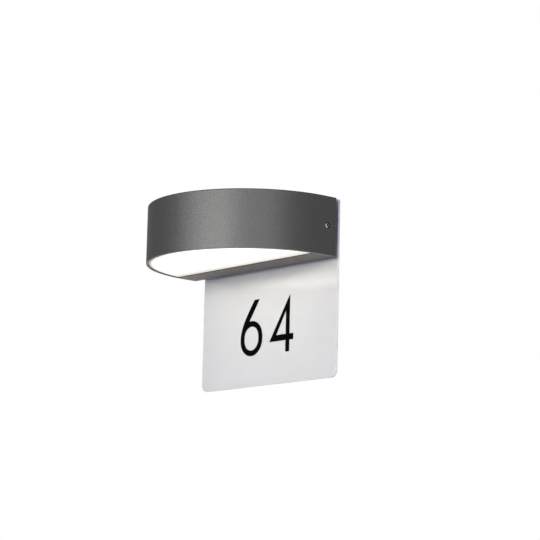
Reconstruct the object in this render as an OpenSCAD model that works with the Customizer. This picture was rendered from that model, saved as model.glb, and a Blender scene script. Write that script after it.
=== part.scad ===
// Outdoor wall light with a half-round housing, an opal diffuser underneath and a number plate behind.
// Millimetres. The wall is the plane y = 0 and the light stands out towards -Y, with +Z up.
// The origin is midway between the two wall screws, at half the height of the housing.

/* [Housing] */
// Width of the housing, and twice the radius of its round front
housing_w = 241; // [225:1:280]
// Height of the housing
housing_h = 65.5; // [58:0.5:80]
// Straight run of each side, from the rear edge to where the round front starts
side_run = 14.5; // [8:0.5:24]
// Thickness of the cast walls
shell_t = 3; // [2.5:0.1:4]
// Thickness of the closed top
top_t = 3; // [2.5:0.1:5]
// Radius on the outer edge of the top
top_edge_r = 1.2; // [0.4:0.1:2.4]
// Radius on the outer edge of the underside
low_edge_r = 0.6; // [0.3:0.1:1.2]
// Depth of the wiring bay, from the rear edge to the straight edge of the diffuser
rear_bay = 28.5; // [27.5:0.5:36]
// Thickness of the partition between the wiring bay and the light chamber
partition_t = 3; // [2.5:0.1:5]

/* [Diffuser] */
// Depth by which the diffuser sits above the lower edge of the housing
diffuser_recess = 0.8; // [0.2:0.1:2]
// Thickness of the diffuser's face
diffuser_t = 2.5; // [1.5:0.1:4]
// Height of the rim that stands up inside the housing
diffuser_rim_h = 8; // [5:0.5:14]
// Thickness of that rim
diffuser_rim_t = 1.8; // [1.2:0.1:3]
// Thickness of the seal on top of the rim
diffuser_seal_t = 1.5; // [1:0.1:3]
// Width of the ledge that the seal bears on
ledge_w = 2.2; // [1.5:0.1:4]
// Thickness of that ledge
ledge_t = 1.6; // [1:0.1:3]

/* [Light source] */
// Inset of the circuit board from the outside of the housing
board_inset = 16; // [14:0.5:24]
// Thickness of the circuit board
board_t = 1.6; // [1:0.1:2.4]
// Thickness of the heat-conducting sheet behind the board
thermal_t = 0.5; // [0.3:0.1:1.5]
// Height of the cast pad that the board is screwed to
pad_h = 5; // [4.5:0.5:8]
// Distance from one light-emitting chip to the next
chip_pitch = 20; // [16:1:26]
// Side of a chip
chip_s = 3; // [2:0.1:5]
// Thickness of a chip
chip_t = 0.7; // [0.4:0.1:1.5]
// Wall thickness of the white reflector
reflector_t = 1; // [0.6:0.1:1.6]

/* [Wiring bay] */
// Length of the driver's case
driver_l = 70; // [60:1:72]
// Height of the driver's case
driver_h = 38; // [30:1:44]
// Depth of the driver's case
driver_d = 18; // [12:0.5:18.5]
// Length of the mounting ear at each end of the driver
driver_ear_l = 8; // [7:0.5:9]
// Thickness of those ears
driver_ear_t = 2; // [1.5:0.1:3]
// Length of the terminal block
terminal_l = 32; // [28:1:36]
// Height of the terminal block
terminal_h = 18; // [14:1:22]
// Depth of the terminal block
terminal_d = 14; // [11:0.5:16]
// Diameter of the mains leads and of the earth lead
mains_lead_d = 2.2; // [1.6:0.1:3]
// Diameter of the leads to the circuit board
led_lead_d = 1.6; // [1:0.1:1.7]
// Diameter of the grommet in the partition
led_grommet_d = 12; // [10.5:0.5:13]

/* [Mounting bracket] */
// Thickness of the bracket's plate
bracket_t = 2; // [1.5:0.1:3]
// Thickness of the lugs that stand forward at its ends
lug_t = 2.5; // [2:0.1:4]
// Length of the lugs, measured forward from the plate
lug_l = 18; // [16:0.5:20]
// Height of the lugs
lug_h = 24; // [14:1:36]
// Width of the foot by which each lug is welded on
lug_foot = 8; // [5:0.5:9]
// Width of the seal between the bracket and the housing
bracket_seal_w = 3; // [2:0.1:4]
// Thickness of that seal
bracket_seal_t = 2; // [1:0.1:2.5]
// Thickness of the cast land that the seal bears on
land_t = 2; // [1.5:0.1:2.5]
// Distance between the two wall screws
wall_screw_span = 150; // [140:1:156]
// Diameter of the holes for the wall screws
wall_screw_hole = 5.5; // [4.5:0.1:6.5]
// Outer diameter of the spacers on the wall screws
spacer_d = 14; // [10:0.5:18]

/* [Side screws] */
// Distance from the rear edge of the housing to the side screws
side_screw_in = 12.5; // [12:0.5:15]
// Diameter of the side screw's thread
side_screw_d = 3; // [2.5:0.5:4]
// Diameter of the side screw's head
side_head_d = 5.7; // [5.2:0.1:7]
// Height of the side screw's head
side_head_h = 1.65; // [1.3:0.05:2.4]
// Length of the side screw below its head
side_screw_l = 10; // [9:0.5:14]
// Width across the flats of its hexagon socket
side_socket = 2; // [1.5:0.5:2.5]
// Diameter of the shallow seat cut for the head
seat_d = 7.2; // [7.1:0.1:9]
// Depth of that seat
seat_depth = 1; // [0.4:0.1:1.4]

/* [Cable entry] */
// Bore of the cable grommet, for the supply cable
cable_bore = 8; // [6:0.5:10]
// Diameter of the grommet where it passes the number plate and the bracket
grommet_neck_d = 20; // [16:0.5:21]
// Diameter of the grommet's flanges
grommet_flange_d = 26; // [25:0.5:30]

/* [Number plate] */
// Width of the number plate
plate_w = 228; // [180:1:260]
// Height of the number plate
plate_h = 197; // [160:1:240]
// Thickness of the number plate
plate_t = 3; // [2:0.5:6]
// Gap between the number plate and the rear edge of the housing
plate_gap = 9; // [6:0.5:16]
// Height of the plate's top edge above the top of the housing
plate_rise = 1; // [-4:0.5:12]
// Radius of the plate's two lower corners
plate_low_r = 8; // [3:0.5:20]
// Radius of the plate's two upper corners
plate_top_r = 2; // [1:0.5:10]

/* [Numerals] */
// Height of the numerals
digit_h = 64.2; // [50:0.1:80]
// Width of the strokes
digit_stroke = 6.4; // [4:0.1:8]
// Thickness of the numerals
digit_t = 0.5; // [0.2:0.1:3]
// Width of the six
six_w = 37.3; // [30:0.1:44]
// Height of the six's bowl
bowl_h = 40.2; // [38:0.1:46]
// Distance from the six's left edge to the tip of its leg
leg_tip_in = 23.1; // [16:0.1:26]
// Width of that tip, measured level
leg_tip_w = 8.2; // [5:0.1:10]
// Width of the four
four_w = 40; // [34:0.1:46]
// Height of the four's crossbar above its foot
crossbar_rise = 13.1; // [8:0.1:20]
// Thickness of the crossbar
crossbar_t = 6.9; // [4:0.1:9]
// Width of the four's upright
upright_w = 6.2; // [4:0.1:9]
// Distance from the crossbar's right tip to the upright
upright_in = 6.4; // [3:0.1:9]
// Width of the four's slanting stroke at the crossbar, measured level
slant_w = 6.7; // [4:0.1:9]
// Height of the slanting stroke where it meets the upright
slant_h = 7.8; // [5:0.1:10]
// Gap between the two numerals
digit_gap = 12.6; // [6:0.1:24]
// Distance from the underside of the housing down to the top of the numerals
digit_drop = 31.4; // [16:0.1:50]
// Sideways offset of the pair of numerals from the middle of the plate
digit_shift = -1; // [-20:0.5:20]

/* [Hidden] */
$fn = 96;

// Clearances that every fit shares
slip = 0.3;
screw_gap = 0.05;
tip_gap = 0.5;
cut = 1;

// Planes of the housing
half_w = housing_w / 2;
top_z = housing_h / 2;
bottom_z = -housing_h / 2;
plate_front_y = -plate_t;
rear_y = plate_front_y - plate_gap;
arc_y = rear_y - side_run;
mouth_y = rear_y - rear_bay;
partition_rear_y = mouth_y + partition_t;
ceiling_z = top_z - top_t;
floor_z = bottom_z + shell_t;
in_w = half_w - shell_t;
all_depth = half_w + side_run + plate_t + plate_gap;

// Diffuser and its seat
diffuser_z = bottom_z + diffuser_recess;
rim_top_z = diffuser_z + diffuser_rim_h;
ledge_z = rim_top_z + diffuser_seal_t;
ledge_top_z = ledge_z + ledge_t;

// Light source, from the cast pad downwards
board_rear_gap = 8;
board_rear_y = mouth_y - board_rear_gap;
pad_z = ceiling_z - pad_h;
board_top_z = pad_z - thermal_t;
board_z = board_top_z - board_t;
chip_margin = 8;
chip_rear_in = 10;
chip_row_y = board_rear_y - chip_rear_in;
chip_reach = half_w - board_inset - chip_margin;
chip_rows = floor((chip_row_y - arc_y + chip_reach) / chip_pitch);
chip_cols = ceil(chip_reach / chip_pitch);
board_screw_d = 3;
board_screw_l = pad_h - 2 * tip_gap + board_t + thermal_t;
board_head_d = 5.6;
board_head_h = 2.2;
board_screw_at = [
    [-3.5 * chip_pitch, chip_row_y - chip_pitch / 2],
    [3.5 * chip_pitch, chip_row_y - chip_pitch / 2],
    [0, chip_row_y - 2.5 * chip_pitch]
];
connector_s = [10, 6, 4.5];
connector_in = 34;
connector_rear_in = 4;
connector_x = -(half_w - board_inset - connector_in);
connector_y = board_rear_y - connector_rear_in;

// Bracket and the land that it closes against
bracket_y = rear_y - bracket_t;
bracket_half_w = in_w - slip;
bracket_top_z = ceiling_z - slip;
bracket_low_z = floor_z + slip;
land_y = bracket_y - bracket_seal_t;
land_w = bracket_seal_w + slip;
lug_out_x = in_w - land_w - slip;
lug_in_x = lug_out_x - lug_t;
side_screw_y = rear_y - side_screw_in;
side_socket_depth = 1.1;
boss_wall = 3;
boss_d = side_screw_d + 2 * boss_wall;

// Pieces in the wiring bay, set out from the left-hand lug
grommet_wall = 2;
led_grommet_groove = 1.5;
led_grommet_neck_d = led_grommet_d - 2 * led_grommet_groove;
led_grommet_bore = led_grommet_neck_d - 2 * grommet_wall;
led_grommet_flange_t = 1.5;
led_grommet_gap = 3;
led_hole_x = -(lug_in_x - led_grommet_d / 2 - led_grommet_gap);
driver_gap = 1;
driver_x0 = led_hole_x + led_grommet_d / 2 + driver_gap;
driver_case_x0 = driver_x0 + driver_ear_l;
driver_case_x1 = driver_case_x0 + driver_l;
driver_x1 = driver_case_x1 + driver_ear_l;
driver_mid_y = partition_rear_y + driver_d / 2;
driver_ear_h = 19;
socket_depth = 2;
driver_screw_d = 3;
driver_head_d = 5.4;
driver_head_h = 1.8;
driver_screw_l = driver_ear_t + partition_t - slip;
driver_screw_xs = [driver_x0 + driver_ear_l / 2, driver_x1 - driver_ear_l / 2];

grommet_flange_t = 2;
grommet_nose_l = 4;
grommet_back = plate_t + plate_gap + bracket_t;
grommet_l = grommet_back + grommet_flange_t + grommet_nose_l;

terminal_gap = 16;
terminal_x0 = grommet_flange_d / 2 + terminal_gap;
terminal_x = terminal_x0 + terminal_l / 2;
terminal_y = bracket_y - terminal_d;
terminal_wall = 1.1;
terminal_pitch = (terminal_l - 2 * terminal_wall) / 3;
terminal_poles = [for (i = [-1:1]) terminal_x + i * terminal_pitch];
terminal_port_d = mains_lead_d + 2 * tip_gap;
terminal_port_y = bracket_y - terminal_d / 2;
terminal_screw_d = 3;
terminal_well = terminal_d / 3;
terminal_sink = 1;
slot_depth = 1;
terminal_base_xs = [terminal_x - terminal_pitch / 2, terminal_x + terminal_pitch / 2];

earth_screw_d = 4;
earth_head_d = 7.5;
earth_head_h = 2.4;
earth_washer_d = 9;
earth_gap = 1.5;
earth_x = lug_in_x - lug_foot - earth_gap - earth_washer_d / 2;
earth_washer_t = 0.8;
earth_tag_t = 0.8;
earth_tag_d = 8.5;
earth_tag_rise = 9;
earth_tag_neck = 2.4;
earth_barrel_wall = 0.7;
earth_barrel_d = mains_lead_d + 2 * earth_barrel_wall;
earth_barrel_l = 6;
earth_barrel_y = bracket_y - earth_washer_t - earth_barrel_d / 2;

// Numerals: the six's left edge and the four's left tip
digit_top_z = bottom_z - digit_drop;
digit_foot_z = digit_top_z - digit_h;
digits_w = six_w + digit_gap + four_w;
six_x = digit_shift - digits_w / 2;
four_x = six_x + six_w + digit_gap;

// Leg of the six: where its outer edge leaves the bowl's left side, how that edge runs,
// and where its inner edge ends on the bowl, from the bowl's left side and top
leg_foot = [0.8, 5.8];
leg_foot_way = [0.19, 1];
leg_tip_way = [0.75, 1];
leg_pull = 0.34;
leg_inner = [13.6, 1.4];
leg_steps = 14;

// Inner leads: the room that each takes to turn, and the gap from one to the next
lead_sides = 10;
lead_steps = 5;
lead_side_way = [0.1, 0.3, 1];
mains_bend = 3 * mains_lead_d;
mains_step = 1.5 * mains_lead_d;
mains_z = cable_bore / 2 + 2 * mains_lead_d;
led_bend = 3 * led_lead_d;
led_step = 0.7 * led_lead_d;

// D-shaped outline: the round front and straight sides, drawn in by inset and cut at a rear line
module d_area(inset, rear) {
    r = half_w - inset;
    intersection() {
        union() {
            translate([0, arc_y]) circle(r = r, $fn = 180);
            translate([-r, arc_y]) square([2 * r, all_depth]);
        }
        translate([-half_w, arc_y - half_w]) square([housing_w, half_w - arc_y + rear]);
    }
}

module d_slab(inset, rear, z0, z1) {
    translate([0, 0, z0]) linear_extrude(z1 - z0) d_area(inset, rear);
}

// Section through the edge of the housing, from the middle out to the side
module edge_section() {
    translate([0, bottom_z + low_edge_r]) square([half_w, housing_h - low_edge_r - top_edge_r]);
    translate([0, bottom_z]) square([half_w - low_edge_r, housing_h / 2]);
    square([half_w - top_edge_r, housing_h / 2]);
    translate([half_w - low_edge_r, bottom_z + low_edge_r]) circle(r = low_edge_r);
    translate([half_w - top_edge_r, top_z - top_edge_r]) circle(r = top_edge_r);
}

module housing_block() {
    translate([0, arc_y, 0]) intersection() {
        rotate_extrude($fn = 180) edge_section();
        translate([-housing_w, -housing_w, -housing_h]) cube([2 * housing_w, housing_w, 2 * housing_h]);
    }
    translate([0, rear_y, 0]) rotate([90, 0, 0]) linear_extrude(side_run) {
        edge_section();
        mirror([1, 0]) edge_section();
    }
}

module light_chamber() {
    difference() {
        d_slab(shell_t, mouth_y, bottom_z - cut, ceiling_z);
        difference() {
            d_slab(0, mouth_y + cut, ledge_z, ledge_top_z);
            d_slab(shell_t + ledge_w, mouth_y - ledge_w, ledge_z - cut, ledge_top_z + cut);
        }
        d_slab(board_inset, board_rear_y, pad_z, ceiling_z + cut);
    }
}

module wiring_bay() {
    difference() {
        translate([0, 0, floor_z]) linear_extrude(ceiling_z - floor_z) difference() {
            d_area(shell_t, rear_y + cut);
            translate([-half_w, arc_y - half_w]) square([housing_w, half_w - arc_y + partition_rear_y]);
        }
        // Land for the bracket's seal
        translate([-half_w, land_y - land_t, bottom_z]) difference() {
            cube([housing_w, land_t, housing_h]);
            translate([shell_t + land_w, -cut, shell_t + land_w])
                cube([2 * (in_w - land_w), land_t + 2 * cut, ceiling_z - floor_z - 2 * land_w]);
        }
        for (s = [-1, 1]) side_boss(s);
    }
}

// Boss inside each side wall, against which the bracket's lug is drawn
module side_boss(s) {
    translate([s * (lug_out_x + screw_gap), side_screw_y, 0]) rotate([0, s * 90, 0])
        cylinder(d = boss_d, h = half_w - lug_out_x);
}

module side_screw_cut(s) {
    translate([s * lug_in_x, side_screw_y, 0]) rotate([0, s * 90, 0])
        cylinder(d = side_screw_d + 2 * slip, h = half_w - lug_in_x + cut);
    translate([s * (half_w - seat_depth), side_screw_y, 0]) rotate([0, s * 90, 0])
        cylinder(d = seat_d, h = seat_depth + cut);
}

module housing_shell() {
    color([0.34, 0.345, 0.35]) difference() {
        housing_block();
        light_chamber();
        wiring_bay();
        for (s = [-1, 1]) side_screw_cut(s);
        for (p = board_screw_at) translate([p.x, p.y, pad_z - cut])
            cylinder(d = board_screw_d + 2 * screw_gap, h = cut + pad_h - tip_gap);
        for (x = driver_screw_xs) translate([x, partition_rear_y + cut, 0]) rotate([90, 0, 0])
            cylinder(d = driver_screw_d + 2 * screw_gap, h = partition_t + 2 * cut);
        translate([led_hole_x, partition_rear_y + cut, 0]) rotate([90, 0, 0])
            cylinder(d = led_grommet_neck_d + 2 * screw_gap, h = partition_t + 2 * cut);
    }
}

module diffuser() {
    inset = shell_t + slip;
    color([1, 0.99, 0.95]) difference() {
        d_slab(inset, mouth_y - slip, diffuser_z, rim_top_z);
        d_slab(inset + diffuser_rim_t, mouth_y - slip - diffuser_rim_t,
            diffuser_z + diffuser_t, rim_top_z + cut);
    }
}

module diffuser_seal() {
    inset = shell_t + slip;
    color([0.9, 0.9, 0.88]) difference() {
        d_slab(inset, mouth_y - slip, rim_top_z, ledge_z);
        d_slab(inset + diffuser_rim_t, mouth_y - slip - diffuser_rim_t, rim_top_z - cut, ledge_z + cut);
    }
}

module reflector_tray() {
    inset = shell_t + slip;
    window = board_inset - slip - cut;
    color([0.97, 0.97, 0.96]) difference() {
        d_slab(inset, mouth_y - slip, ledge_top_z, ceiling_z - slip);
        d_slab(inset + reflector_t, mouth_y - slip - reflector_t,
            ledge_top_z - cut, ceiling_z - slip - reflector_t);
        d_slab(window, board_rear_y + slip + cut, pad_z, top_z);
        translate([led_hole_x, mouth_y + cut, 0]) rotate([90, 0, 0])
            cylinder(d = led_grommet_d + 2 * slip, h = reflector_t + 2 * cut);
    }
}

module thermal_pad() {
    color([0.62, 0.66, 0.7]) difference() {
        d_slab(board_inset, board_rear_y, board_top_z, pad_z);
        board_screw_holes(pad_z - thermal_t);
    }
}

module board_screw_holes(z) {
    for (p = board_screw_at) translate([p.x, p.y, z - cut])
        cylinder(d = board_screw_d + 2 * slip, h = thermal_t + board_t + 2 * cut);
}

module led_board() {
    color([0.93, 0.94, 0.93]) difference() {
        d_slab(board_inset, board_rear_y, board_z, board_top_z);
        board_screw_holes(board_z);
    }
}

// Places of the chips: a square grid that stops short of the round edge of the board
function chip_places() = [
    for (j = [0:chip_rows], i = [-chip_cols:chip_cols])
        let (x = i * chip_pitch, y = chip_row_y - j * chip_pitch)
        if (norm([x, y - arc_y]) < chip_reach) [x, y]
];

module led_chips() {
    color([1, 0.85, 0.35]) for (p = chip_places())
        translate([p.x - chip_s / 2, p.y - chip_s / 2, board_z - chip_t]) cube([chip_s, chip_s, chip_t]);
}

module led_board_screws() {
    color([0.75, 0.75, 0.76]) for (p = board_screw_at) translate([p.x, p.y, board_z]) {
        cylinder(d = board_screw_d, h = board_screw_l);
        translate([0, 0, -board_head_h]) cross_head(board_head_d, board_head_h);
    }
}

// Pan head with a cross recess in its lower face, standing on z = 0
module cross_head(d, h) {
    slot = d / 6;
    difference() {
        cylinder(d = d, h = h);
        for (a = [0, 90]) rotate([0, 0, a]) translate([-d / 4, -slot / 2, -cut])
            cube([d / 2, slot, cut + h / 2]);
    }
}

module board_connector() {
    corner = [connector_x - connector_s.x / 2, connector_y - connector_s.y / 2, board_z - connector_s.z];
    color([0.96, 0.96, 0.94]) translate(corner) difference() {
        cube(connector_s);
        for (i = [-1, 1]) translate([-cut, connector_s.y / 2 + i * led_step, connector_s.z / 2])
            rotate([0, 90, 0]) cylinder(d = led_lead_d + 2 * slip, h = cut + connector_s.x / 2);
    }
}

// Smooth path through a route, and a round tube swept along it
function unit(v) = v / norm(v);
function bend(a, b, c, d, t) = 0.5 * (2 * b + (c - a) * t + (2 * a - 5 * b + 4 * c - d) * t * t
    + (3 * b - 3 * c + d - a) * t * t * t);
function smooth(p) = concat([
    for (i = [0:len(p) - 2], k = [0:lead_steps - 1])
        bend(p[max(i - 1, 0)], p[i], p[i + 1], p[min(i + 2, len(p) - 1)], k / lead_steps)
], [p[len(p) - 1]]);
function carry(n, t) = unit(n - (n * t) * t);
function carried(t, n, i = 0) = i == len(t) ? [] :
    let (m = carry(n, t[i])) concat([m], carried(t, m, i + 1));

module lead(route, d) {
    path = smooth(route);
    last = len(path) - 1;
    along = [for (i = [0:last]) unit(path[min(i + 1, last)] - path[max(i - 1, 0)])];
    across = carried(along, lead_side_way);
    points = [
        for (i = [0:last], k = [0:lead_sides - 1])
            let (a = 360 * k / lead_sides)
            path[i] + d / 2 * (cos(a) * across[i] + sin(a) * cross(along[i], across[i]))
    ];
    sides = [
        for (i = [0:last - 1], k = [0:lead_sides - 1])
            let (n = (k + 1) % lead_sides, a = i * lead_sides)
            each [
                [a + k, a + n, a + lead_sides + k],
                [a + n, a + lead_sides + n, a + lead_sides + k]
            ]
    ];
    caps = [
        for (k = [1:lead_sides - 2])
            each [[0, k + 1, k], [last * lead_sides, last * lead_sides + k, last * lead_sides + k + 1]]
    ];
    polyhedron(points, [for (f = concat(sides, caps)) [f[2], f[1], f[0]]]);
}

// Route of a lead from the driver, through the partition and up to the board's connector
module led_lead(i) {
    off = i * led_step;
    y1 = connector_y + off;
    z1 = board_z - connector_s.z / 2;
    x1 = connector_x - connector_s.x / 2;
    lead([
        [driver_case_x0 + socket_depth - slip, driver_mid_y, off],
        [driver_case_x0 - led_bend / 2, driver_mid_y, off],
        [led_hole_x + led_bend / 2, driver_mid_y - slip, off],
        [led_hole_x, partition_rear_y + led_step, off],
        [led_hole_x, mouth_y - led_bend / 2, off],
        [led_hole_x + led_bend / 2, y1 + led_step, z1 / 4 + off],
        [led_hole_x + led_bend * 3 / 2, y1, z1 * 2 / 3],
        [x1 - led_bend * 3 / 2, y1, z1 - led_step],
        [x1 - led_bend / 2, y1, z1],
        [x1 + connector_s.x / 2 - slip, y1, z1]
    ], led_lead_d);
}

module led_lead_plus() {
    color([0.75, 0.1, 0.08]) led_lead(1);
}

module led_lead_minus() {
    color([0.08, 0.08, 0.08]) led_lead(-1);
}

module led_grommet() {
    r = led_grommet_d / 2;
    color([0.12, 0.12, 0.12]) translate([led_hole_x, partition_rear_y, 0]) rotate([90, 0, 0])
        difference() {
            union() {
                translate([0, 0, -led_grommet_flange_t]) cylinder(r = r, h = led_grommet_flange_t);
                cylinder(d = led_grommet_neck_d, h = partition_t);
                translate([0, 0, partition_t]) cylinder(r = r, h = led_grommet_flange_t);
            }
            translate([0, 0, -led_grommet_flange_t - cut])
                cylinder(d = led_grommet_bore, h = partition_t + 2 * led_grommet_flange_t + 2 * cut);
        }
}

module led_driver() {
    color([0.93, 0.93, 0.9]) difference() {
        union() {
            translate([driver_case_x0, partition_rear_y, -driver_h / 2])
                cube([driver_l, driver_d, driver_h]);
            translate([driver_x0, partition_rear_y, -driver_ear_h / 2])
                cube([driver_x1 - driver_x0, driver_ear_t, driver_ear_h]);
        }
        for (x = driver_screw_xs) translate([x, partition_rear_y - cut, 0]) rotate([-90, 0, 0])
            cylinder(d = driver_screw_d + 2 * slip, h = driver_ear_t + 2 * cut);
        for (i = [-1, 1]) {
            translate([driver_case_x0 - cut, driver_mid_y, i * led_step]) rotate([0, 90, 0])
                cylinder(d = led_lead_d + 2 * slip, h = cut + socket_depth);
            translate([driver_case_x1 - socket_depth, driver_mid_y, mains_z + i * mains_lead_d])
                rotate([0, 90, 0]) cylinder(d = mains_lead_d + 2 * slip, h = cut + socket_depth);
        }
    }
}

module driver_screws() {
    color([0.75, 0.75, 0.76]) for (x = driver_screw_xs)
        translate([x, partition_rear_y + driver_ear_t, 0]) rotate([90, 0, 0]) {
            cylinder(d = driver_screw_d, h = driver_screw_l);
            translate([0, 0, -driver_head_h]) cross_head(driver_head_d, driver_head_h);
        }
}

// Route of a mains lead from a pole of the terminal block to the driver, above the supply cable
module mains_lead(pole, i) {
    x0 = terminal_poles[pole];
    x1 = driver_case_x1 + mains_bend;
    top = terminal_h / 2;
    over = top + mains_bend + i * mains_step / 2;
    lead([
        [x0, terminal_port_y, top - socket_depth + slip],
        [x0, terminal_port_y, top + mains_bend / 2],
        [x0 - mains_bend, terminal_port_y - mains_lead_d / 2, over],
        [terminal_x0 - mains_bend, terminal_port_y - mains_lead_d, over],
        [(terminal_x0 + driver_case_x1) / 2, driver_mid_y, (over + mains_z) / 2 + i * mains_lead_d],
        [x1, driver_mid_y, mains_z + i * mains_lead_d],
        [driver_case_x1 + mains_lead_d, driver_mid_y, mains_z + i * mains_lead_d],
        [driver_case_x1 - socket_depth + slip, driver_mid_y, mains_z + i * mains_lead_d]
    ], mains_lead_d);
}

module lead_live() {
    color([0.45, 0.25, 0.12]) mains_lead(1, 1);
}

module lead_neutral() {
    color([0.15, 0.3, 0.65]) mains_lead(0, -1);
}

module terminal_block() {
    color([0.95, 0.95, 0.93]) difference() {
        translate([terminal_x0, terminal_y, -terminal_h / 2]) cube([terminal_l, terminal_d, terminal_h]);
        // Ports for the leads, above and below each pole
        for (x = terminal_poles, s = [0, 1]) mirror([0, 0, s])
            translate([x, terminal_port_y, terminal_h / 2 - socket_depth])
            cylinder(d = terminal_port_d, h = socket_depth + cut);
        // Wells over the clamp screws
        for (x = terminal_poles, s = [-1, 1]) translate([x, terminal_y - cut, s * terminal_h / 4])
            rotate([-90, 0, 0]) cylinder(d = terminal_screw_d + 2 * slip, h = cut + terminal_well);
        // Holes for the two screws that hold the block down
        for (x = terminal_base_xs) translate([x, terminal_y - cut, 0]) rotate([-90, 0, 0])
            cylinder(d = terminal_screw_d + 2 * slip, h = terminal_d + 2 * cut);
    }
}

// Headless screw with a slot in its upper end
module slotted_screw(d, l) {
    difference() {
        cylinder(d = d, h = l);
        translate([-d, -slip, l - slot_depth]) cube([2 * d, 2 * slip, slot_depth + cut]);
    }
}

module terminal_clamp_screws() {
    color([0.8, 0.72, 0.4]) for (x = terminal_poles, s = [-1, 1])
        translate([x, terminal_y + terminal_well - screw_gap, s * terminal_h / 4]) rotate([90, 0, 0])
            slotted_screw(terminal_screw_d, terminal_well - terminal_sink);
}

module terminal_base_screws() {
    color([0.75, 0.75, 0.76]) for (x = terminal_base_xs) translate([x, rear_y, 0]) rotate([90, 0, 0])
        slotted_screw(terminal_screw_d, bracket_t + terminal_d - terminal_sink);
}

// Route of the earth lead from the last pole, down into the barrel of its tag
module lead_earth() {
    x0 = terminal_poles[2];
    top = terminal_h / 2;
    crest = earth_tag_rise + earth_barrel_l + mains_bend;
    color([0.45, 0.65, 0.15]) lead([
        [x0, terminal_port_y, top - socket_depth + slip],
        [x0, terminal_port_y, top + mains_bend / 2],
        [x0 + mains_bend, terminal_port_y, top + mains_bend],
        [earth_x - 2 * mains_bend, earth_barrel_y, crest - mains_lead_d / 2],
        [earth_x - mains_bend / 2, earth_barrel_y, crest],
        [earth_x, earth_barrel_y, crest - mains_bend / 2],
        [earth_x, earth_barrel_y, earth_tag_rise + earth_barrel_l - mains_lead_d / 2],
        [earth_x, earth_barrel_y, earth_tag_rise + slip]
    ], mains_lead_d);
}

module earth_tag() {
    front = bracket_y - earth_washer_t;
    color([0.8, 0.78, 0.7]) difference() {
        union() {
            translate([earth_x, front, 0]) rotate([90, 0, 0]) cylinder(d = earth_tag_d, h = earth_tag_t);
            translate([earth_x - earth_tag_neck / 2, front - earth_tag_t, 0])
                cube([earth_tag_neck, earth_tag_t, earth_tag_rise]);
            translate([earth_x, earth_barrel_y, earth_tag_rise - earth_tag_t])
                cylinder(d = earth_barrel_d, h = earth_barrel_l);
        }
        translate([earth_x, front + cut, 0]) rotate([90, 0, 0])
            cylinder(d = earth_screw_d + 2 * slip, h = earth_tag_t + 2 * cut);
        translate([earth_x, earth_barrel_y, earth_tag_rise])
            cylinder(d = mains_lead_d + 2 * screw_gap, h = earth_barrel_l);
    }
}

module earth_washer() {
    color([0.7, 0.7, 0.72]) translate([earth_x, bracket_y, 0]) rotate([90, 0, 0]) difference() {
        cylinder(d = earth_washer_d, h = earth_washer_t);
        translate([0, 0, -cut]) cylinder(d = earth_screw_d + 2 * slip, h = earth_washer_t + 2 * cut);
    }
}

module earth_screw() {
    below = earth_tag_t + earth_washer_t + bracket_t;
    color([0.75, 0.75, 0.76]) translate([earth_x, bracket_y - earth_washer_t - earth_tag_t, 0])
        rotate([90, 0, 0]) {
            translate([0, 0, earth_head_h]) mirror([0, 0, 1]) cross_head(earth_head_d, earth_head_h);
            translate([0, 0, -below]) cylinder(d = earth_screw_d, h = below);
        }
}

module wall_screw_places(y) {
    for (s = [-1, 1]) translate([s * wall_screw_span / 2, y, 0]) rotate([90, 0, 0]) children();
}

module mounting_bracket() {
    color([0.72, 0.73, 0.74]) difference() {
        translate([-bracket_half_w, bracket_y, bracket_low_z])
            cube([2 * bracket_half_w, bracket_t, bracket_top_z - bracket_low_z]);
        wall_screw_places(rear_y + cut) cylinder(d = wall_screw_hole, h = bracket_t + 2 * cut);
        translate([0, rear_y + cut, 0]) rotate([90, 0, 0])
            cylinder(d = grommet_neck_d + 2 * screw_gap, h = bracket_t + 2 * cut);
        for (x = terminal_base_xs) translate([x, rear_y + cut, 0]) rotate([90, 0, 0])
            cylinder(d = terminal_screw_d + 2 * screw_gap, h = bracket_t + 2 * cut);
        translate([earth_x, rear_y + cut, 0]) rotate([90, 0, 0])
            cylinder(d = earth_screw_d + 2 * screw_gap, h = bracket_t + 2 * cut);
    }
}

// Two angles, each with its foot on the bracket and its upright against the side boss
module bracket_lugs() {
    color([0.68, 0.69, 0.7]) for (s = [0, 1]) mirror([s, 0, 0]) difference() {
        union() {
            translate([lug_in_x, bracket_y - lug_l, -lug_h / 2]) cube([lug_t, lug_l, lug_h]);
            translate([lug_in_x - lug_foot, bracket_y - lug_t, -lug_h / 2])
                cube([lug_foot + lug_t, lug_t, lug_h]);
        }
        translate([lug_in_x - cut, side_screw_y, 0]) rotate([0, 90, 0])
            cylinder(d = side_screw_d + 2 * screw_gap, h = lug_t + 2 * cut);
    }
}

module bracket_seal() {
    w = 2 * bracket_half_w;
    h = bracket_top_z - bracket_low_z;
    color([0.1, 0.1, 0.1]) translate([-bracket_half_w, land_y, bracket_low_z]) difference() {
        cube([w, bracket_seal_t, h]);
        translate([bracket_seal_w, -cut, bracket_seal_w])
            cube([w - 2 * bracket_seal_w, bracket_seal_t + 2 * cut, h - 2 * bracket_seal_w]);
    }
}

module cable_grommet() {
    color([0.12, 0.12, 0.12]) rotate([90, 0, 0]) difference() {
        union() {
            cylinder(d = grommet_neck_d, h = grommet_back);
            translate([0, 0, plate_t]) cylinder(d = grommet_flange_d, h = plate_gap);
            translate([0, 0, grommet_back]) cylinder(d = grommet_flange_d, h = grommet_flange_t);
            translate([0, 0, grommet_back + grommet_flange_t])
                cylinder(d1 = grommet_neck_d, d2 = cable_bore + 2 * grommet_wall, h = grommet_nose_l);
        }
        translate([0, 0, -cut]) cylinder(d = cable_bore, h = grommet_l + 2 * cut);
    }
}

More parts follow.
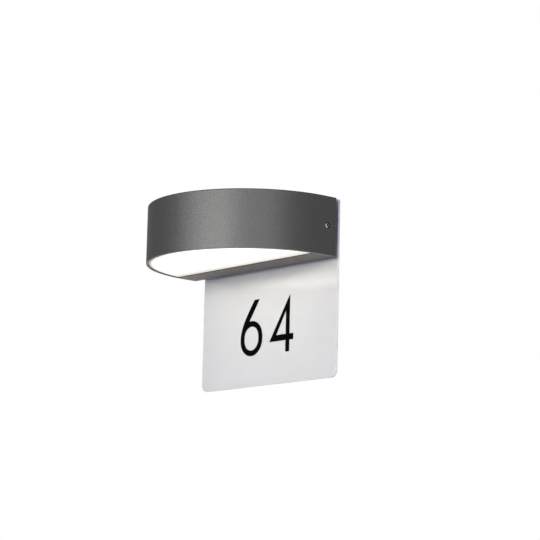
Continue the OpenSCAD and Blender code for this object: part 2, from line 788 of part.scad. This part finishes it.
module wall_spacers() {
    color([0.8, 0.8, 0.82]) wall_screw_places(plate_front_y) difference() {
        cylinder(d = spacer_d, h = plate_gap);
        translate([0, 0, -cut]) cylinder(d = wall_screw_hole, h = plate_gap + 2 * cut);
    }
}

// Screw with a domed head and a hexagon socket, its head's seat on z = 0
module side_screw() {
    dome_r = (pow(side_head_d / 2, 2) + pow(side_head_h, 2)) / (2 * side_head_h);
    difference() {
        union() {
            translate([0, 0, -side_screw_l]) cylinder(d = side_screw_d, h = side_screw_l);
            intersection() {
                translate([0, 0, side_head_h - dome_r]) sphere(r = dome_r);
                cylinder(d = side_head_d, h = side_head_h);
            }
        }
        translate([0, 0, side_head_h - side_socket_depth])
            cylinder(d = side_socket / cos(30), h = side_head_h, $fn = 6);
    }
}

module side_screws() {
    color([0.8, 0.8, 0.8]) for (s = [-1, 1])
        translate([s * (half_w - seat_depth), side_screw_y, 0]) rotate([0, s * 90, 0]) side_screw();
}

module number_plate() {
    z1 = top_z + plate_rise;
    z0 = z1 - plate_h;
    color([0.93, 0.93, 0.92]) rotate([90, 0, 0]) difference() {
        linear_extrude(plate_t) {
            rounded_end(z0, plate_low_r);
            rounded_end(z1, -plate_top_r);
            translate([-plate_w / 2, z0 + plate_low_r])
                square([plate_w, plate_h - plate_low_r - plate_top_r]);
        }
        for (s = [-1, 1]) translate([s * wall_screw_span / 2, 0, -cut])
            cylinder(d = wall_screw_hole, h = plate_t + 2 * cut);
        translate([0, 0, -cut]) cylinder(d = grommet_neck_d + 2 * screw_gap, h = plate_t + 2 * cut);
    }
}

// Strip along one end of the plate with its two round corners; a negative radius is the upper end
module rounded_end(z, r) {
    a = abs(r);
    translate([-plate_w / 2 + a, min(z, z + r)]) square([plate_w - 2 * a, a]);
    for (s = [-1, 1]) translate([s * (plate_w / 2 - a), z + r]) circle(r = a);
}

// A numeral lies on the front of the plate, drawn in a plane with x to the right and y up
module on_plate(t = digit_t) {
    translate([0, plate_front_y, 0]) rotate([90, 0, 0]) linear_extrude(t) children();
}

// Oblong with round ends, one above the other
module oblong(w, h) {
    for (s = [-1, 1]) translate([0, s * (h - w) / 2]) circle(d = w);
    translate([-w / 2, -(h - w) / 2]) square([w, h - w]);
}

function curve(a, b, c, d, t) = pow(1 - t, 3) * a + 3 * pow(1 - t, 2) * t * b
    + 3 * (1 - t) * t * t * c + pow(t, 3) * d;

// The six is a round bowl with a slanting leg that runs into the bowl's left side
module digit_six() {
    mid = [six_x + six_w / 2, digit_foot_z + bowl_h / 2];
    foot = [six_x, mid.y] + leg_foot;
    tip = [six_x + leg_tip_in, digit_top_z];
    pull = (tip.y - foot.y) * leg_pull;
    outer = [for (i = [0:leg_steps])
        curve(foot, foot + pull * leg_foot_way, tip - pull * leg_tip_way, tip, i / leg_steps)];
    inner = [six_x + leg_inner.x, mid.y + bowl_h / 2 - leg_inner.y];
    color([0.06, 0.06, 0.06]) difference() {
        union() {
            on_plate() translate(mid) oblong(six_w, bowl_h);
            on_plate() polygon(concat(outer, [tip + [leg_tip_w, 0], inner, foot + [digit_stroke / 2, 0]]));
        }
        translate([0, cut, 0]) on_plate(digit_t + 2 * cut)
            translate(mid) oblong(six_w - 2 * digit_stroke, bowl_h - 2 * digit_stroke);
    }
}

// The four has an upright, a crossbar and a slanting stroke down to the crossbar's left tip
module digit_four() {
    bar_low = digit_foot_z + crossbar_rise;
    bar_top = bar_low + crossbar_t;
    right = four_x + four_w;
    upright_x1 = right - upright_in;
    upright_x0 = upright_x1 - upright_w;
    slope = (digit_top_z - bar_low) / (upright_x1 - four_x);
    hole_top = digit_top_z - upright_w * slope - slant_h;
    hole_left = four_x + crossbar_t / slope + slant_w;
    color([0.06, 0.06, 0.06]) on_plate() difference() {
        polygon([
            [upright_x1, digit_top_z], [upright_x1, bar_top], [right, bar_top], [right, bar_low],
            [upright_x1, bar_low], [upright_x1, digit_foot_z], [upright_x0, digit_foot_z],
            [upright_x0, bar_low], [four_x, bar_low]
        ]);
        polygon([[upright_x0, hole_top], [upright_x0, bar_top], [hole_left, bar_top]]);
    }
}

housing_shell();
diffuser();
diffuser_seal();
reflector_tray();
thermal_pad();
led_board();
led_chips();
led_board_screws();
board_connector();
led_lead_plus();
led_lead_minus();
led_grommet();
led_driver();
driver_screws();
lead_live();
lead_neutral();
terminal_block();
terminal_clamp_screws();
terminal_base_screws();
lead_earth();
earth_tag();
earth_washer();
earth_screw();
mounting_bracket();
bracket_lugs();
bracket_seal();
cable_grommet();
wall_spacers();
side_screws();
number_plate();
digit_six();
digit_four();
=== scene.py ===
"""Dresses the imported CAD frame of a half-round outdoor wall light with a number plate.

Metres, +Z up. The wall is the plane y = 0 and the light stands out towards -Y.
"""
import math

import bpy
from mathutils import Matrix, Vector


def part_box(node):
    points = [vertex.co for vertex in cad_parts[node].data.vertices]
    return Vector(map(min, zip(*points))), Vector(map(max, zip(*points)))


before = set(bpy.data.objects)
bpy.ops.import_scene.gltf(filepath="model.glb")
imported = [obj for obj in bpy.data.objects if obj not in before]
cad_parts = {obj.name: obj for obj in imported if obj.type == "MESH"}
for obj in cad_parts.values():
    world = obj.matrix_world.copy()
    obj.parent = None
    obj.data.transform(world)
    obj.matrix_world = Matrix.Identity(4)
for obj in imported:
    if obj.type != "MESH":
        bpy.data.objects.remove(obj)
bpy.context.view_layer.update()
scene = bpy.context.scene
MM = 0.001


def way_to(azimuth, elevation):
    """Unit vector away from the light, in degrees: azimuth 0 is in front, 90 to the right."""
    az, el = math.radians(azimuth), math.radians(elevation)
    return Vector((math.sin(az) * math.cos(el), -math.cos(az) * math.cos(el), math.sin(el)))


# ---------------------------------------------------------------- camera

CAMERA_AT = (1.8314, -1.58781, -0.46101)
CAMERA_AZIMUTH = 49.0992
CAMERA_ELEVATION = -10.0385
CAMERA_ROLL = 1.3412
CAMERA_LENS = 144.773
CAMERA_SENSOR = 36
CAMERA_REACH = 50


def make_camera():
    """The photograph's camera, with place, turn and lens from a fit to the photograph's edges."""
    az, roll = math.radians(CAMERA_AZIMUTH), math.radians(CAMERA_ROLL)
    back = way_to(CAMERA_AZIMUTH, CAMERA_ELEVATION)
    right = Vector((math.cos(az), math.sin(az), 0))
    up = back.cross(right)
    across = math.cos(roll) * right + math.sin(roll) * up
    top = -math.sin(roll) * right + math.cos(roll) * up
    data = bpy.data.cameras.new("camera")
    data.lens = CAMERA_LENS
    data.sensor_width = CAMERA_SENSOR
    data.clip_end = CAMERA_REACH
    camera = bpy.data.objects.new("camera", data)
    axes = Matrix((across, top, back)).transposed().to_4x4()
    camera.matrix_world = Matrix.Translation(CAMERA_AT) @ axes
    scene.collection.objects.link(camera)
    scene.camera = camera


make_camera()

# ---------------------------------------------------------------- short calls for nodes

# The range that nearly all values of a noise texture lie in
NOISE_SPAN = (0.3, 0.7)
# Length over which a wave texture of scale 1 repeats
WAVE_LENGTH = 0.314


def shade(colour, factor):
    return tuple(min(1.0, c * factor) for c in colour)


class Nodes:
    """A node tree, emptied, with short calls for the nodes used here."""

    def __init__(self, tree):
        self.tree = tree
        self.tree.nodes.clear()

    def add(self, kind, **settings):
        node = self.tree.nodes.new(kind)
        for key, value in settings.items():
            setattr(node, key, value)
        return node

    def link(self, source, target):
        self.tree.links.new(source, target)

    def put(self, socket, value):
        """Links a node's output to the socket, or gives the socket a number, colour or vector."""
        if isinstance(value, bpy.types.NodeSocket):
            self.link(value, socket)
        elif isinstance(value, tuple) and socket.type == "RGBA":
            socket.default_value = (*value, 1)
        else:
            socket.default_value = value

    def math(self, operation, a, b=0.0):
        node = self.add("ShaderNodeMath", operation=operation)
        self.put(node.inputs[0], a)
        self.put(node.inputs[1], b)
        return node.outputs[0]

    def spread(self, value, low, high, to_low=0.0, to_high=1.0, smooth=False):
        """Maps low to high onto to_low to to_high, and goes no further at either end."""
        node = self.add("ShaderNodeMapRange")
        if smooth:
            node.interpolation_type = "SMOOTHSTEP"
        self.put(node.inputs["Value"], value)
        ends = {"From Min": low, "From Max": high, "To Min": to_low, "To Max": to_high}
        for key, number in ends.items():
            node.inputs[key].default_value = number
        return node.outputs["Result"]

    def mixed(self, a, b, share):
        """Number a with this share, and b with the rest."""
        return self.math("ADD", self.math("MULTIPLY", a, share),
                         self.math("MULTIPLY", b, 1 - share))

    def blend(self, factor, a, b):
        """Colour a where the factor is 0, and b where it is 1."""
        node = self.add("ShaderNodeMix", data_type="RGBA")
        self.put(node.inputs["Factor"], factor)
        self.put(node.inputs["A"], a)
        self.put(node.inputs["B"], b)
        return node.outputs["Result"]

    def part(self, vector, axis):
        """The X, Y or Z part of a vector."""
        node = self.add("ShaderNodeSeparateXYZ")
        self.link(vector, node.inputs[0])
        return node.outputs[axis]


class Paint(Nodes):
    """A material for one slot, made around one Principled shader."""

    def __init__(self, slot, **sockets):
        self.slot = slot
        self.material = bpy.data.materials.new(slot)
        self.material.use_nodes = True
        super().__init__(self.material.node_tree)
        self.shader = self.add("ShaderNodeBsdfPrincipled")
        output = self.add("ShaderNodeOutputMaterial")
        self.link(self.shader.outputs[0], output.inputs["Surface"])
        self.place = self.add("ShaderNodeTexCoord").outputs["Object"]
        self.bumped = None
        for key, value in sockets.items():
            self.set(key.replace("_", " "), value)

    def set(self, key, value):
        self.put(self.shader.inputs[key], value)

    def at(self, axis):
        """Where the surface lies on an axis, in metres."""
        return self.part(self.place, axis)

    def normal(self, axis):
        """How far the surface faces along an axis, -1 to 1."""
        return self.part(self.add("ShaderNodeNewGeometry").outputs["Normal"], axis)

    def reach(self, **middle):
        """How far the surface lies from a middle that is given on two axes."""
        squares = []
        for axis, value in middle.items():
            off = self.math("SUBTRACT", self.at(axis), value)
            squares.append(self.math("MULTIPLY", off, off))
        return self.math("SQRT", self.math("ADD", *squares))

    def texture(self, kind, scale):
        node = self.add(kind)
        self.link(self.place, node.inputs["Vector"])
        node.inputs["Scale"].default_value = scale
        return node

    def noise(self, size, detail=3):
        """Soft noise whose blotches are about size metres across."""
        node = self.texture("ShaderNodeTexNoise", 1 / size)
        node.inputs["Detail"].default_value = detail
        return node.outputs["Fac"]

    def cells(self, size):
        """A random value for each cell of about size metres."""
        grey = self.add("ShaderNodeSeparateColor")
        self.link(self.texture("ShaderNodeTexVoronoi", 1 / size).outputs["Color"], grey.inputs[0])
        return grey.outputs[0]

    def bands(self, size, direction, distortion=0.0):
        """Soft bands that repeat every size metres."""
        node = self.texture("ShaderNodeTexWave", WAVE_LENGTH / size)
        node.bands_direction = direction
        node.inputs["Distortion"].default_value = distortion
        return node.outputs["Fac"]

    def clouded(self, noise, colour, dark, light):
        """The colour times dark to light, as the noise goes."""
        factor = self.spread(noise, *NOISE_SPAN)
        return self.blend(factor, shade(colour, dark), shade(colour, light))

    def bump(self, height, depth):
        """Adds relief of about depth metres."""
        node = self.add("ShaderNodeBump")
        node.inputs["Distance"].default_value = depth
        self.link(height, node.inputs["Height"])
        if self.bumped:
            self.link(self.bumped, node.inputs["Normal"])
        self.bumped = node.outputs["Normal"]
        self.set("Normal", self.bumped)


# ---------------------------------------------------------------- light, floor and background

AMBIENT_WAY = (-0.2, -0.9, -0.1)
AMBIENT_FAR = (0.045, 0.06, 0.115)
AMBIENT_NEAR = (0.30, 0.318, 0.52)
FLAG_WAY = (-0.75, 0.66, 0.1)
FLAG_COSINES = (0.6, 0.95)
FLAG_TONE = (0.72, 0.72, 0.73)
WHITE = (1, 1, 1)

FLOOR_Z = -1.9
FLOOR_SIZE = 14
FLOOR_TONE = (0.86, 0.86, 0.85)
FLOOR_GLOW = 0.9

LAMP_AIM = Vector((0, -0.06, -0.03))
KEY_WARM = (1, 0.975, 0.845)
COATED = ("housing_shell", "side_screws")
# A lamp lights and is mirrored, a dull one only lights,
# and a card only shows as a reflection in the coated pieces
SOFTBOXES = (
    # name, azimuth, elevation, distance, (width, height), level, colour, use
    ("key", 16, 1.7, 2.2, (1.2, 0.44), 0.31, KEY_WARM, "lamp"),
    ("key_card", 16, 1.7, 2.2, (1.2, 0.44), 0.53, (0.91, 0.925, 1), "card"),
    ("side_key", 30, 1.7, 2.2, (0.4, 0.44), 0.51, KEY_WARM, "dull"),
    ("back", 190, 12, 2.4, (1.6, 1.2), 0.55, (1, 0.98, 0.93), "lamp"),
    ("end", 104, 4, 2.2, (0.6, 0.8), 0.12, (1, 0.965, 0.82), "dull"),
    ("front_card", 0, 4, 2.2, (2.3, 1.0), 0.78, WHITE, "card"),
    ("side_card", 60, 8, 2.4, (1.4, 0.9), 0.33, (0.98, 0.99, 1), "card"),
    ("bounce", 0, -86, 0.68, (1.4, 1.0), 0.145, (0.97, 0.965, 1), "lamp"),
    ("under_card", 180, -76, 0.6, (1.2, 0.5), 3.6, (1, 0.94, 0.88), "card"),
)


def make_world():
    """White for the rays that show the background, soft bluish light for the rest."""
    world = bpy.data.worlds.new("studio")
    scene.world = world
    world.use_nodes = True
    n = Nodes(world.node_tree)
    way = n.add("ShaderNodeTexCoord").outputs["Generated"]
    rays = n.add("ShaderNodeLightPath").outputs

    def towards(direction, low, high, smooth=False):
        """0 to 1 as a ray turns towards the direction, between two cosines."""
        along = n.add("ShaderNodeVectorMath", operation="DOT_PRODUCT")
        n.put(along.inputs[0], way)
        n.put(along.inputs[1], Vector(direction).normalized())
        return n.spread(along.outputs["Value"], low, high, smooth=smooth)

    sky = n.blend(towards(AMBIENT_WAY, -1, 1), AMBIENT_FAR, AMBIENT_NEAR)
    # A flag to the rear left dims what glossy surfaces mirror from there
    flagged = n.math("MULTIPLY", towards(FLAG_WAY, *FLAG_COSINES, smooth=True),
                     rays["Is Glossy Ray"])
    white = n.blend(flagged, WHITE, FLAG_TONE)
    seen = n.math("MAXIMUM", rays["Is Camera Ray"], rays["Is Glossy Ray"])
    seen = n.math("MAXIMUM", seen, rays["Is Transmission Ray"])
    # Light that a matt surface has spread doesn't fetch the white background
    unspread = n.math("LESS_THAN", rays["Diffuse Depth"], 0.5)
    seen = n.math("MULTIPLY", seen, unspread)
    background = n.add("ShaderNodeBackground")
    n.put(background.inputs["Color"], n.blend(seen, sky, white))
    output = n.add("ShaderNodeOutputWorld")
    n.link(background.outputs[0], output.inputs["Surface"])


def make_softbox(name, azimuth, elevation, distance, size, level, colour, use):
    """A soft lamp aimed at the light. A white surface square to it renders at about the level."""
    data = bpy.data.lights.new(name, "AREA")
    data.shape = "RECTANGLE"
    data.size, data.size_y = size
    data.energy = level * (math.pi * distance) ** 2
    data.color = colour
    lamp = bpy.data.objects.new(name, data)
    back = way_to(azimuth, elevation)
    turn = back.to_track_quat("Z", "Y").to_matrix().to_4x4()
    lamp.matrix_world = Matrix.Translation(LAMP_AIM + back * distance) @ turn
    lamp.visible_camera = False
    lamp.visible_diffuse = use != "card"
    lamp.visible_glossy = use != "dull"
    if use == "card":
        lamp.light_linking.receiver_collection = coated
    scene.collection.objects.link(lamp)


def make_floor():
    """A plain pale floor, whose white glow only the camera sees."""
    half = FLOOR_SIZE / 2
    corners = [(-half, -half, 0), (half, -half, 0), (half, half, 0), (-half, half, 0)]
    mesh = bpy.data.meshes.new("floor")
    mesh.from_pydata(corners, [], [(0, 1, 2, 3)])
    floor = bpy.data.objects.new("floor", mesh)
    floor.location.z = FLOOR_Z
    scene.collection.objects.link(floor)
    p = Paint("floor", Base_Color=FLOOR_TONE, Roughness=0.7, Emission_Color=WHITE)
    camera_ray = p.add("ShaderNodeLightPath").outputs["Is Camera Ray"]
    p.set("Emission Strength", p.math("MULTIPLY", camera_ray, FLOOR_GLOW))
    mesh.materials.append(p.material)


coated = bpy.data.collections.new("coated")
for name in COATED:
    coated.objects.link(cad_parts[name])

make_world()
for softbox in SOFTBOXES:
    make_softbox(*softbox)
make_floor()

# ---------------------------------------------------------------- materials


def powder_coat():
    """Anthracite powder coat with a fine texture, a few lighter flakes and painted warm light on
    its underside.
    """
    coat, tint = (0.060, 0.060, 0.060), (0.56, 0.56, 0.56)
    painted_underside_light = (0.148, 0.141, 0.138)
    p = Paint("powder_coat", Metallic=0.9, Specular_Tint=tint)
    flakes = p.cells(0.55 * MM)
    grain = p.noise(1.3 * MM, detail=4)
    drift = p.noise(60 * MM, detail=2)
    tone = p.clouded(grain, coat, 0.94, 1.06)
    tone = p.blend(p.spread(flakes, 0.84, 1, to_high=0.5), tone, shade(coat, 1.35))
    tone = p.blend(p.spread(drift, 0.35, 0.65, to_high=0.35), tone, shade(coat, 1.08))
    # Faces turned down get a lighter, warmer colour: painted light, standing in for the lit
    # diffuser's spill on the underside
    turned_down = p.spread(p.normal("Z"), -0.6, -0.9)
    p.set("Base Color", p.blend(turned_down, tone, painted_underside_light))
    p.set("Roughness", p.spread(flakes, 0, 1, 0.36, 0.54))
    p.bump(p.noise(0.5 * MM, detail=2), 0.02 * MM)
    p.bump(grain, 0.19 * MM)
    return p


def opal_acrylic():
    """Glossy opal sheet, whose edges are coloured whiter than its faces: partly the paler cut
    surface, partly painted edge glow.
    """
    p = Paint("opal_acrylic", Subsurface_Weight=0.7, Subsurface_Radius=(1, 1, 0.95), IOR=1.49)
    cloud = p.noise(45 * MM, detail=2)
    speck = p.noise(0.8 * MM, detail=2)
    tone = p.spread(p.mixed(cloud, speck, 0.7), *NOISE_SPAN)
    face = p.blend(tone, (0.628, 0.626, 0.622), (0.648, 0.646, 0.642))
    edge = p.spread(p.math("ABSOLUTE", p.normal("Y")), 0.9, 0.5)
    # Whiter edges: partly the paler cut surface, partly painted glow of the light that the sheet
    # carries to them
    p.set("Base Color", p.blend(edge, face, (0.92, 0.92, 0.915)))
    p.set("Subsurface Scale", p.spread(edge, 0, 1, 3 * MM, 12 * MM))
    p.set("Roughness", p.spread(cloud, *NOISE_SPAN, 0.09, 0.14))
    p.bump(cloud, 0.015 * MM)
    return p


def opal_diffuser():
    """Satin opal lit from behind, whose glow fades and warms towards its rim and rear edge."""
    deep_rim, rim, full = (1, 0.85, 0.54), (1, 0.945, 0.72), (1, 0.99, 0.965)
    lo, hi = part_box("diffuser")
    # The straight rear edge lies in front of the arc's middle,
    # so the arc's radius is a little more than half the width
    arc = hi.x + 0.9 * MM
    p = Paint("opal_diffuser", Roughness=0.55, Specular_IOR_Level=0.15)
    from_arc = p.math("SUBTRACT", arc, p.reach(X=0.0, Y=lo.y + arc))
    from_rear = p.math("SUBTRACT", hi.y, p.at("Y"))
    by_arc = p.math("ADD", p.spread(from_arc, 0, 4 * MM, 0.04, 0.26),
                    p.spread(from_arc, 2 * MM, 20 * MM, 0, 0.74, smooth=True))
    by_rear = p.math("ADD", p.spread(from_rear, 0, 6 * MM, 0.13, 0.195),
                     p.spread(from_rear, 6 * MM, 46 * MM, 0, 0.805, smooth=True))
    glow = p.math("MINIMUM", by_arc, by_rear)
    cloud = p.noise(35 * MM, detail=2)
    milky = p.spread(cloud, *NOISE_SPAN)
    p.set("Base Color", p.blend(milky, (0.70, 0.70, 0.69), (0.74, 0.74, 0.73)))
    near_rim = p.blend(p.spread(glow, 0.06, 0.2), deep_rim, rim)
    p.set("Emission Color", p.blend(glow, near_rim, full))
    p.set("Emission Strength", p.math("MULTIPLY", glow, p.spread(cloud, *NOISE_SPAN, 2.75, 2.95)))
    p.bump(p.noise(0.6 * MM, detail=2), 0.01 * MM)
    return p


def grained(slot, colour, roughness, grain=1.2 * MM, vary=0.12, relief=0.02 * MM, **sockets):
    """A finish with grain in its colour, gloss and relief, such as moulded plastic or rubber."""
    p = Paint(slot, **sockets)
    fine = p.noise(grain)
    cloud = p.noise(22 * grain, detail=2)
    p.set("Base Color", p.clouded(p.mixed(fine, cloud, 0.6), colour, 1 - vary, 1 + vary))
    p.set("Roughness", p.spread(fine, 0.25, 0.75, roughness * 0.88, min(1, roughness * 1.12)))
    p.bump(fine, relief)
    return p


def bare_metal(slot, roughness):
    """Metal with a fine grain in its gloss and relief, still without its colour."""
    p = Paint(slot, Metallic=1.0)
    grain = p.noise(0.4 * MM)
    p.set("Roughness", p.spread(grain, *NOISE_SPAN, roughness * 0.8, roughness * 1.25))
    p.bump(grain, 0.006 * MM)
    return p


def metal(slot, colour, roughness):
    p = bare_metal(slot, roughness)
    p.set("Base Color", p.clouded(p.noise(9 * MM, detail=2), colour, 0.88, 1.06))
    return p


def stainless():
    """Finish of the side screws: dull on the head, with painted shade round and down in the
    socket.
    """
    lo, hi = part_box("side_screws")
    p = bare_metal("stainless", 0.26)
    cloud = p.noise(2 * MM, detail=2)
    head = p.blend(cloud, (0.195, 0.194, 0.192), (0.265, 0.264, 0.261))
    # Painted shade: nearly black from a little outside the socket's mouth inwards
    socket = p.spread(p.reach(Y=(lo.y + hi.y) / 2, Z=0.0), 1.55 * MM, 1.3 * MM)
    p.set("Base Color", p.blend(socket, head, (0.02, 0.018, 0.017)))
    return p


def zinc_steel():
    """Bright zinc plating with its spangle."""
    p = bare_metal("zinc_steel", 0.36)
    spangle = p.cells(7 * MM)
    p.set("Base Color", p.blend(spangle, (0.50, 0.515, 0.54), (0.70, 0.705, 0.71)))
    return p


def spacer_aluminium():
    """Aluminium with the fine rings of the turning tool."""
    p = metal("spacer_aluminium", (0.76, 0.765, 0.775), 0.3)
    p.bump(p.bands(0.35 * MM, "Y", distortion=0.2), 0.01 * MM)
    return p


def thermal_sheet():
    """Soft sheet with the weave of its carrier showing through."""
    p = grained("thermal_sheet", (0.42, 0.46, 0.50), 0.62)
    weave = p.math("MULTIPLY", p.bands(0.9 * MM, "X"), p.bands(0.9 * MM, "Y"))
    p.bump(weave, 0.05 * MM)
    return p


def board_white():
    """Solder mask over copper tracks that run between the rows of chips."""
    track_pitch = 10 * MM
    p = grained("board_white", (0.78, 0.79, 0.78), 0.34, vary=0.03)
    wave = p.math("SINE", p.math("MULTIPLY", p.at("Y"), math.pi / track_pitch))
    p.bump(p.spread(p.math("ABSOLUTE", wave), 0.1, 0.2), 0.035 * MM)
    return p


def chip_yellow():
    """Yellow gel in a white rim, on each chip of the rows."""
    chip, pitch = 3 * MM, 20 * MM
    gel_end, rim_start = 1.05 * MM, 1.2 * MM
    lo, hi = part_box("led_chips")
    p = Paint("chip_yellow", Roughness=0.3)
    offs = []
    for axis, start in (("X", lo.x + chip / 2), ("Y", hi.y - chip / 2)):
        steps = p.math("DIVIDE", p.math("SUBTRACT", p.at(axis), start), pitch)
        offs.append(p.math("ABSOLUTE", p.math("SUBTRACT", steps, p.math("ROUND", steps))))
    rim = p.spread(p.math("MAXIMUM", *offs), gel_end / pitch, rim_start / pitch)
    speck = p.noise(0.3 * MM)
    gel = p.blend(speck, (0.80, 0.55, 0.08), (0.92, 0.70, 0.16))
    p.set("Base Color", p.blend(rim, gel, (0.82, 0.82, 0.80)))
    p.bump(p.math("ADD", rim, p.math("MULTIPLY", speck, 0.1)), 0.1 * MM)
    return p


def wire(slot, colour, stripe=None):
    """Insulation of one lead, plain or with a stripe that winds round it."""
    p = grained(slot, colour, 0.38, grain=0.7 * MM, vary=0.08, relief=0.008 * MM)
    if stripe:
        turns = p.bands(4.5 * MM, "DIAGONAL", distortion=0.4)
        p.set("Base Color", p.blend(p.spread(turns, 0.45, 0.55), colour, stripe))
    return p


PAINTS = (
    powder_coat(),
    opal_acrylic(),
    opal_diffuser(),
    grained("silicone", (0.72, 0.72, 0.69), 0.5, grain=1.5 * MM, vary=0.06,
            Subsurface_Weight=0.2, Subsurface_Scale=1 * MM),
    grained("reflector_white", (0.86, 0.86, 0.85), 0.5, grain=0.9 * MM, vary=0.03),
    thermal_sheet(),
    board_white(),
    chip_yellow(),
    zinc_steel(),
    stainless(),
    metal("brass", (0.68, 0.50, 0.22), 0.3),
    metal("tinned_brass", (0.66, 0.63, 0.56), 0.34),
    grained("white_plastic", (0.80, 0.80, 0.77), 0.42, grain=0.8 * MM, vary=0.04),
    grained("driver_case", (0.74, 0.74, 0.70), 0.5, grain=1.1 * MM, vary=0.05, relief=0.03 * MM),
    grained("black_rubber", (0.022, 0.022, 0.023), 0.68, grain=0.7 * MM, vary=0.25,
            relief=0.03 * MM),
    wire("wire_red", (0.50, 0.025, 0.02)),
    wire("wire_black", (0.018, 0.018, 0.019)),
    wire("wire_brown", (0.13, 0.045, 0.016)),
    wire("wire_blue", (0.02, 0.07, 0.30)),
    wire("wire_earth", (0.06, 0.30, 0.05), stripe=(0.72, 0.62, 0.04)),
    spacer_aluminium(),
    grained("digit_black", (0.002, 0.002, 0.002), 0.45, grain=0.8 * MM, vary=0.2,
            relief=0.008 * MM, Specular_IOR_Level=0.005),
)
MATERIALS = {paint.slot: paint.material for paint in PAINTS}

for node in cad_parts.values():
    for place in node.material_slots:
        place.material = MATERIALS[place.material.name]

# ---------------------------------------------------------------- broken edges and smooth leads

WELD_REACH = 0.002 * MM
SHARP_ANGLE = math.radians(35)
PLATE_EDGE = 0.4 * MM
DIGIT_EDGE = 0.12 * MM


def welded(name):
    """A CAD node with a modifier that joins its double points and leaves its mesh as it is."""
    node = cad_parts[name]
    node.modifiers.new("weld", "WELD").merge_threshold = WELD_REACH
    return node


def soften(name, width, segments):
    """Breaks the sharp edges of a CAD node."""
    node = welded(name)
    bevel = node.modifiers.new("bevel", "BEVEL")
    bevel.width = width
    bevel.segments = segments
    bevel.limit_method = "ANGLE"
    bevel.angle_limit = SHARP_ANGLE
    node.modifiers.new("normals", "WEIGHTED_NORMAL").mode = "FACE_AREA_WITH_ANGLE"


def rounded(name):
    """Smooths a round lead by one subdivision."""
    node = welded(name)
    smooth = node.modifiers.new("smooth", "SUBSURF")
    smooth.levels = smooth.render_levels = 1
    node.modifiers.new("normals", "WEIGHTED_NORMAL")


soften("number_plate", PLATE_EDGE, segments=3)
for digit in ("digit_six", "digit_four"):
    soften(digit, DIGIT_EDGE, segments=2)
for lead in ("led_lead_plus", "led_lead_minus", "lead_live", "lead_neutral", "lead_earth"):
    rounded(lead)

# ---------------------------------------------------------------- finish

scene.view_settings.view_transform = "Standard"
bpy.context.view_layer.update()
